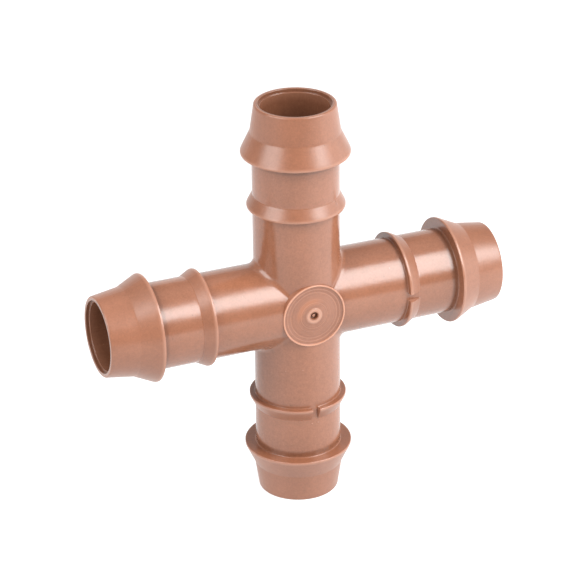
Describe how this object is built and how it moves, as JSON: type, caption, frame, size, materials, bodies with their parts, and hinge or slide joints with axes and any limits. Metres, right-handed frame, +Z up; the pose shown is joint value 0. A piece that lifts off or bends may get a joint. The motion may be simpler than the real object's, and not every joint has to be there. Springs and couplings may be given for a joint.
{
  "type": "barbed cross fitting",
  "caption": "Moulded plastic cross that joins dripline tubes at right angles; each spigot has a tapered nose, an end barb and a notched grip ring, with a round gate pad on the hub.",
  "frame": {"origin": "where the axes of the two tubes cross, which is also the centre of the bounding box", "axes": "+Z up along the top spigot, +X along the right spigot; the gate pad on the hub faces -Y"},
  "size_m": [0.0682, 0.0176, 0.0682],
  "materials": {
    "brown_plastic": "satin moulded polymer, reddish brown, solid colour throughout"
  },
  "bodies": {
    "root": {"hub": "brown_plastic", "gate_pad": "brown_plastic", "top_spigot": "brown_plastic", "right_spigot": "brown_plastic", "bottom_spigot": "brown_plastic", "left_spigot": "brown_plastic"}
  },
  "joints": []
}
